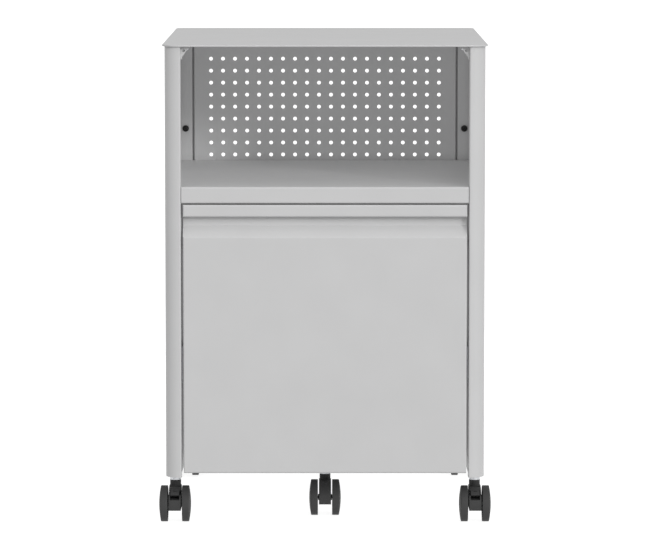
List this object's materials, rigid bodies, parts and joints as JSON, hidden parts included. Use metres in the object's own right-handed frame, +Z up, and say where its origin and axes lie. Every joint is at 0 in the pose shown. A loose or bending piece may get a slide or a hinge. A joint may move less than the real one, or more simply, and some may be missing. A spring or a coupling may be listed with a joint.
{
  "type": "mobile printer stand",
  "caption": "Narrow steel stand with an open compartment, perforated back panel and a tall file drawer, on twin-wheel casters.",
  "frame": {"origin": "on the floor under the middle of the stand", "axes": "+Z up, +X to the right seen from the front, the front faces -Y"},
  "size_m": [0.4138, 0.506, 0.596],
  "materials": {
    "body_grey": "fine powder coat, satin",
    "zinc_steel": "bright zinc plate",
    "axle_steel": "drawn steel rod",
    "black_screw": "black oxide",
    "caster_black": "moulded nylon, fine grain",
    "wheel_black": "moulded nylon, smooth tread",
    "rubber": "moulded rubber"
  },
  "bodies": {
    "cabinet": {"top_panel": "body_grey", "left_side_skin": "body_grey", "right_side_skin": "body_grey", "left_inner_liner": "body_grey", "right_inner_liner": "body_grey", "shelf": "body_grey", "perforated_back_panel": "body_grey", "lower_back_panel": "body_grey", "rear_bottom_rail": "body_grey", "left_caster_channel": "body_grey", "right_caster_channel": "body_grey", "corner_gussets": "body_grey", "top_nuts": "zinc_steel", "wall_cap_screws": "black_screw", "back_panel_screws": "zinc_steel", "left_slide_outer": "zinc_steel", "right_slide_outer": "zinc_steel", "slide_end_stops": "rubber", "front_left_stem": "zinc_steel", "front_right_stem": "zinc_steel", "rear_left_stem": "zinc_steel", "rear_right_stem": "zinc_steel"},
    "slide_middles": {"left_slide_middle": "zinc_steel", "right_slide_middle": "zinc_steel"},
    "outer_cages": {"outer_ball_cages": "zinc_steel"},
    "inner_cages": {"inner_ball_cages": "zinc_steel"},
    "drawer": {"drawer_front_skin": "body_grey", "drawer_front_liner": "body_grey", "drawer_left_side": "body_grey", "drawer_right_side": "body_grey", "drawer_back": "body_grey", "drawer_bottom": "body_grey", "hanging_file_rails": "zinc_steel", "left_slide_inner": "zinc_steel", "right_slide_inner": "zinc_steel", "drawer_caster_bracket": "body_grey", "drawer_front_screws": "zinc_steel", "drawer_caster_stem": "zinc_steel"},
    "front_left_swivel": {"front_left_housing": "caster_black", "front_left_axle": "axle_steel"},
    "front_left_wheel_a": {"front_left_wheel_a": "wheel_black"},
    "front_left_wheel_b": {"front_left_wheel_b": "wheel_black"},
    "front_left_brake": {"front_left_brake_lever": "caster_black"},
    "front_right_swivel": {"front_right_housing": "caster_black", "front_right_axle": "axle_steel"},
    "front_right_wheel_a": {"front_right_wheel_a": "wheel_black"},
    "front_right_wheel_b": {"front_right_wheel_b": "wheel_black"},
    "front_right_brake": {"front_right_brake_lever": "caster_black"},
    "rear_left_swivel": {"rear_left_housing": "caster_black", "rear_left_axle": "axle_steel"},
    "rear_left_wheel_a": {"rear_left_wheel_a": "wheel_black"},
    "rear_left_wheel_b": {"rear_left_wheel_b": "wheel_black"},
    "rear_right_swivel": {"rear_right_housing": "caster_black", "rear_right_axle": "axle_steel"},
    "rear_right_wheel_a": {"rear_right_wheel_a": "wheel_black"},
    "rear_right_wheel_b": {"rear_right_wheel_b": "wheel_black"},
    "drawer_caster_swivel": {"drawer_caster_housing": "caster_black", "drawer_caster_axle": "axle_steel"},
    "drawer_caster_wheel_a": {"drawer_caster_wheel_a": "wheel_black"},
    "drawer_caster_wheel_b": {"drawer_caster_wheel_b": "wheel_black"}
  },
  "joints": [
    {"name": "drawer_slide", "type": "slide", "parent": "cabinet", "child": "drawer", "axis": [0, -1, 0], "range_m": [0, 0.38]},
    {"name": "slide_middles_slide", "type": "slide", "parent": "cabinet", "child": "slide_middles", "axis": [0, -1, 0], "range_m": [0, 0.19]},
    {"name": "outer_cages_slide", "type": "slide", "parent": "cabinet", "child": "outer_cages", "axis": [0, -1, 0], "range_m": [0, 0.095]},
    {"name": "inner_cages_slide", "type": "slide", "parent": "cabinet", "child": "inner_cages", "axis": [0, -1, 0], "range_m": [0, 0.285]},
    {"name": "front_left_swivel_turn", "type": "hinge", "parent": "cabinet", "child": "front_left_swivel", "pos_m": [-0.187, -0.188, 0.045], "axis": [0, 0, 1], "continuous": true},
    {"name": "front_left_wheel_a_spin", "type": "hinge", "parent": "front_left_swivel", "child": "front_left_wheel_a", "pos_m": [-0.187, -0.206, 0.0225], "axis": [1, 0, 0], "continuous": true},
    {"name": "front_left_wheel_b_spin", "type": "hinge", "parent": "front_left_swivel", "child": "front_left_wheel_b", "pos_m": [-0.187, -0.206, 0.0225], "axis": [1, 0, 0], "continuous": true},
    {"name": "front_left_brake_press", "type": "hinge", "parent": "front_left_swivel", "child": "front_left_brake", "pos_m": [-0.187, -0.2, 0.0362], "axis": [1, 0, 0], "range_deg": [0, 10]},
    {"name": "front_right_swivel_turn", "type": "hinge", "parent": "cabinet", "child": "front_right_swivel", "pos_m": [0.187, -0.188, 0.045], "axis": [0, 0, 1], "continuous": true},
    {"name": "front_right_wheel_a_spin", "type": "hinge", "parent": "front_right_swivel", "child": "front_right_wheel_a", "pos_m": [0.187, -0.206, 0.0225], "axis": [1, 0, 0], "continuous": true},
    {"name": "front_right_wheel_b_spin", "type": "hinge", "parent": "front_right_swivel", "child": "front_right_wheel_b", "pos_m": [0.187, -0.206, 0.0225], "axis": [1, 0, 0], "continuous": true},
    {"name": "front_right_brake_press", "type": "hinge", "parent": "front_right_swivel", "child": "front_right_brake", "pos_m": [0.187, -0.2, 0.0362], "axis": [1, 0, 0], "range_deg": [0, 10]},
    {"name": "rear_left_swivel_turn", "type": "hinge", "parent": "cabinet", "child": "rear_left_swivel", "pos_m": [-0.187, 0.188, 0.045], "axis": [0, 0, 1], "continuous": true},
    {"name": "rear_left_wheel_a_spin", "type": "hinge", "parent": "rear_left_swivel", "child": "rear_left_wheel_a", "pos_m": [-0.187, 0.17, 0.0225], "axis": [1, 0, 0], "continuous": true},
    {"name": "rear_left_wheel_b_spin", "type": "hinge", "parent": "rear_left_swivel", "child": "rear_left_wheel_b", "pos_m": [-0.187, 0.17, 0.0225], "axis": [1, 0, 0], "continuous": true},
    {"name": "rear_right_swivel_turn", "type": "hinge", "parent": "cabinet", "child": "rear_right_swivel", "pos_m": [0.187, 0.188, 0.045], "axis": [0, 0, 1], "continuous": true},
    {"name": "rear_right_wheel_a_spin", "type": "hinge", "parent": "rear_right_swivel", "child": "rear_right_wheel_a", "pos_m": [0.187, 0.17, 0.0225], "axis": [1, 0, 0], "continuous": true},
    {"name": "rear_right_wheel_b_spin", "type": "hinge", "parent": "rear_right_swivel", "child": "rear_right_wheel_b", "pos_m": [0.187, 0.17, 0.0225], "axis": [1, 0, 0], "continuous": true},
    {"name": "drawer_caster_swivel_turn", "type": "hinge", "parent": "drawer", "child": "drawer_caster_swivel", "pos_m": [0, -0.139, 0.045], "axis": [0, 0, 1], "continuous": true},
    {"name": "drawer_caster_wheel_a_spin", "type": "hinge", "parent": "drawer_caster_swivel", "child": "drawer_caster_wheel_a", "pos_m": [0, -0.157, 0.0225], "axis": [1, 0, 0], "continuous": true},
    {"name": "drawer_caster_wheel_b_spin", "type": "hinge", "parent": "drawer_caster_swivel", "child": "drawer_caster_wheel_b", "pos_m": [0, -0.157, 0.0225], "axis": [1, 0, 0], "continuous": true}
  ],
  "couplings": [
    {"joint": "slide_middles_slide", "follows": "drawer_slide", "ratio": 0.5},
    {"joint": "outer_cages_slide", "follows": "drawer_slide", "ratio": 0.25},
    {"joint": "inner_cages_slide", "follows": "drawer_slide", "ratio": 0.75}
  ]
}
